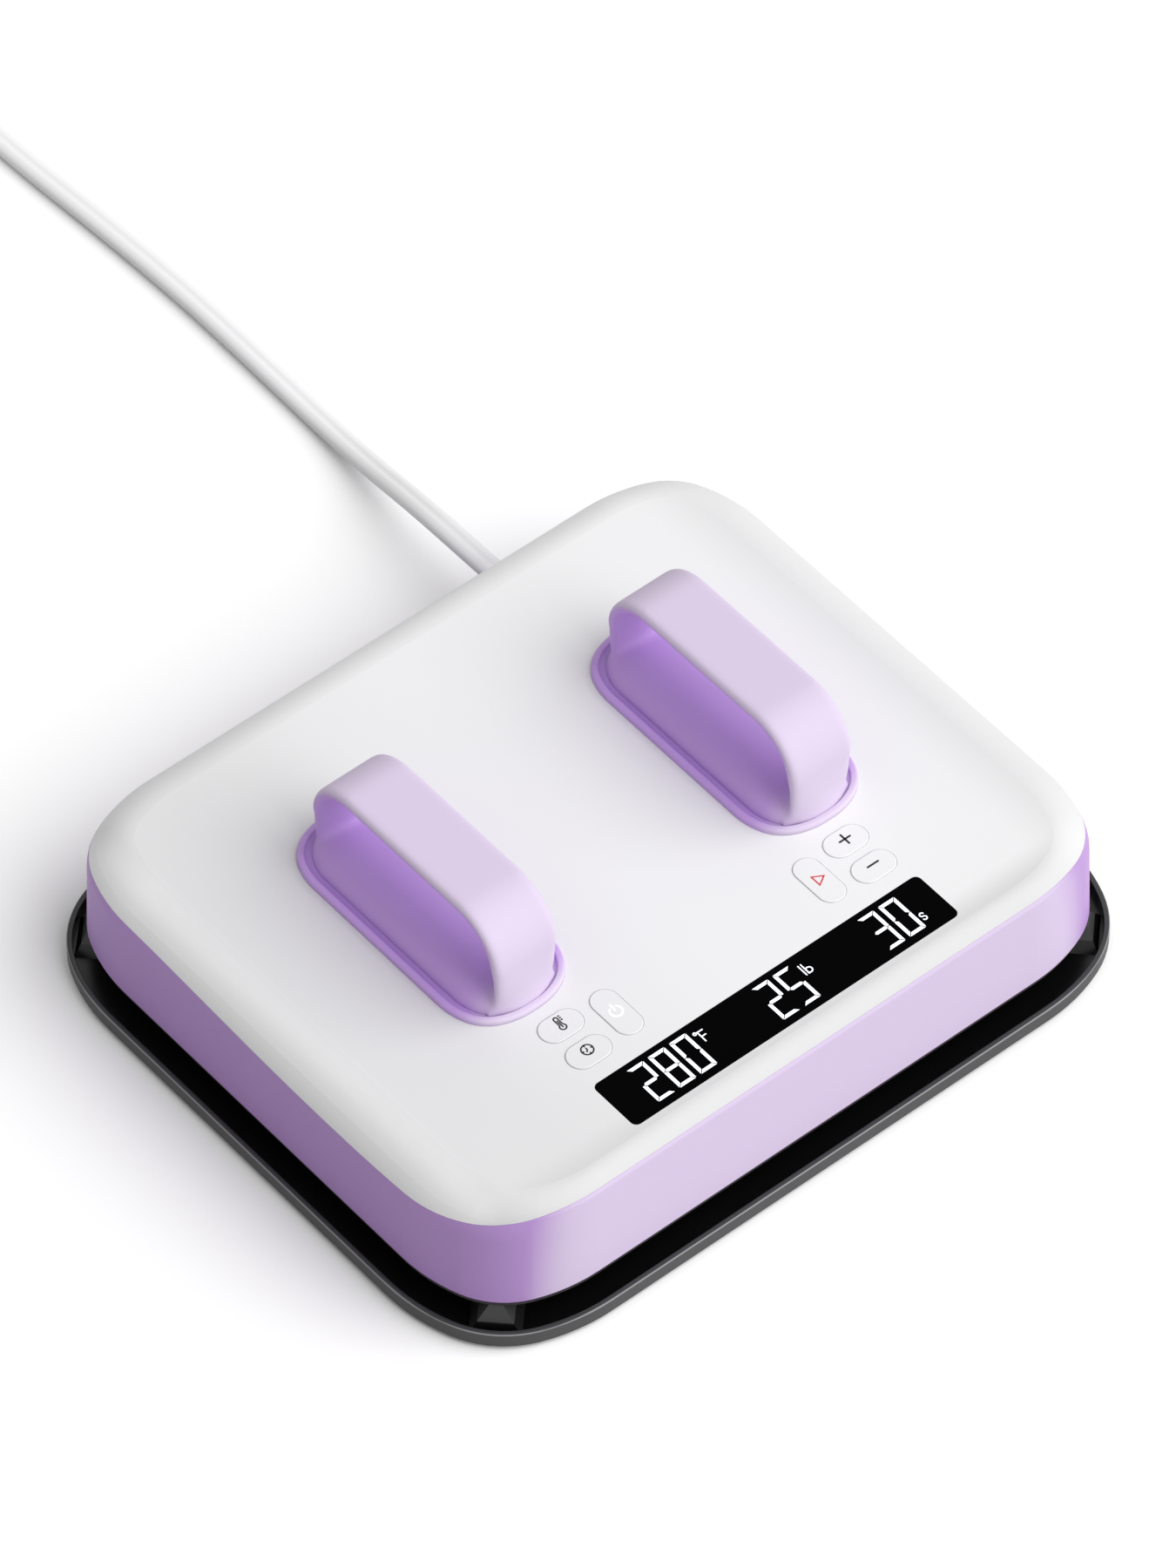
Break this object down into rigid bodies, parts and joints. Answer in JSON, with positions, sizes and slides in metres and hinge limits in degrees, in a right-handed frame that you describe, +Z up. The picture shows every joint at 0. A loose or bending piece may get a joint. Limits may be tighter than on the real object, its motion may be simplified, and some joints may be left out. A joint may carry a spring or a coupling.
{
  "type": "handheld heat press",
  "caption": "Two-handled craft heat press with a white cover and lilac band, digital display and buttons, on its resting tray.",
  "frame": {"origin": "centre of the tray's footprint on the surface it stands on", "axes": "+X to the right along the display, +Y to the back where the cord leaves, +Z up"},
  "size_m": [0.3626, 0.827, 0.125],
  "materials": {
    "cover_white": "satin",
    "band_lilac": "satin",
    "grip_lilac": "matte silicone",
    "tray_black": "gloss",
    "shell_dark": "matte",
    "mat_silicone": "matte",
    "foot_rubber": "matte",
    "plate_coated": "non-stick coated",
    "element_steel": "satin",
    "blanket_fibre": "fibrous",
    "sheet_steel": "brushed",
    "cell_alloy": "machined",
    "board_green": "satin",
    "part_black": "matte",
    "part_blue": "gloss",
    "window_black": "polished",
    "cord_grey": "satin",
    "blade_brass": "polished"
  },
  "bodies": {
    "base": {"base_tray": "tray_black", "base_mat": "mat_silicone", "base_foot_1": "foot_rubber", "base_foot_2": "foot_rubber", "base_foot_3": "foot_rubber", "base_foot_4": "foot_rubber", "cord_run": "cord_grey", "cord_coil": "cord_grey", "cord_tail": "cord_grey", "plug_body": "cord_grey", "plug_blade_1": "blade_brass", "plug_blade_2": "blade_brass"},
    "press": {"top_cover": "cover_white", "side_band": "band_lilac", "bottom_shell": "shell_dark", "heating_plate": "plate_coated", "heating_element": "element_steel", "insulation_blanket": "blanket_fibre", "heat_shield": "sheet_steel", "thermal_cutout": "part_black", "temperature_sensor": "part_black", "main_board": "board_green", "power_board": "board_green", "buzzer": "part_black", "transformer": "part_blue", "relay": "part_blue", "terminal_block": "board_green", "display_window": "window_black", "display_module": "part_black", "panel_board_left": "board_green", "panel_board_right": "board_green", "strain_relief": "cord_grey", "cord_clamp": "part_black", "cord_inner": "cord_grey", "cord_lead": "cord_grey", "load_cell_1": "cell_alloy", "handle_screw_1": "sheet_steel", "load_cell_2": "cell_alloy", "handle_screw_2": "sheet_steel", "load_cell_3": "cell_alloy", "handle_screw_3": "sheet_steel", "load_cell_4": "cell_alloy", "handle_screw_4": "sheet_steel", "switch_temperature": "part_black", "switch_timer": "part_black", "switch_power": "part_black", "switch_start": "part_black", "switch_plus": "part_black", "switch_minus": "part_black", "handle_grip_left": "grip_lilac", "handle_core_left": "sheet_steel", "handle_grip_right": "grip_lilac", "handle_core_right": "sheet_steel"},
    "key_temperature": {"button_temperature": "cover_white"},
    "key_timer": {"button_timer": "cover_white"},
    "key_power": {"button_power": "cover_white"},
    "key_start": {"button_start": "cover_white"},
    "key_plus": {"button_plus": "cover_white"},
    "key_minus": {"button_minus": "cover_white"}
  },
  "joints": [
    {"name": "press_lift", "type": "slide", "parent": "base", "child": "press", "axis": [0, 0, 1], "range_m": [0, 0.08]},
    {"name": "push_temperature", "type": "slide", "parent": "press", "child": "key_temperature", "axis": [0, 0, -1], "range_m": [0, 0.0008], "stiffness_N_per_m": 400},
    {"name": "push_timer", "type": "slide", "parent": "press", "child": "key_timer", "axis": [0, 0, -1], "range_m": [0, 0.0008], "stiffness_N_per_m": 400},
    {"name": "push_power", "type": "slide", "parent": "press", "child": "key_power", "axis": [0, 0, -1], "range_m": [0, 0.0008], "stiffness_N_per_m": 400},
    {"name": "push_start", "type": "slide", "parent": "press", "child": "key_start", "axis": [0, 0, -1], "range_m": [0, 0.0008], "stiffness_N_per_m": 400},
    {"name": "push_plus", "type": "slide", "parent": "press", "child": "key_plus", "axis": [0, 0, -1], "range_m": [0, 0.0008], "stiffness_N_per_m": 400},
    {"name": "push_minus", "type": "slide", "parent": "press", "child": "key_minus", "axis": [0, 0, -1], "range_m": [0, 0.0008], "stiffness_N_per_m": 400}
  ]
}
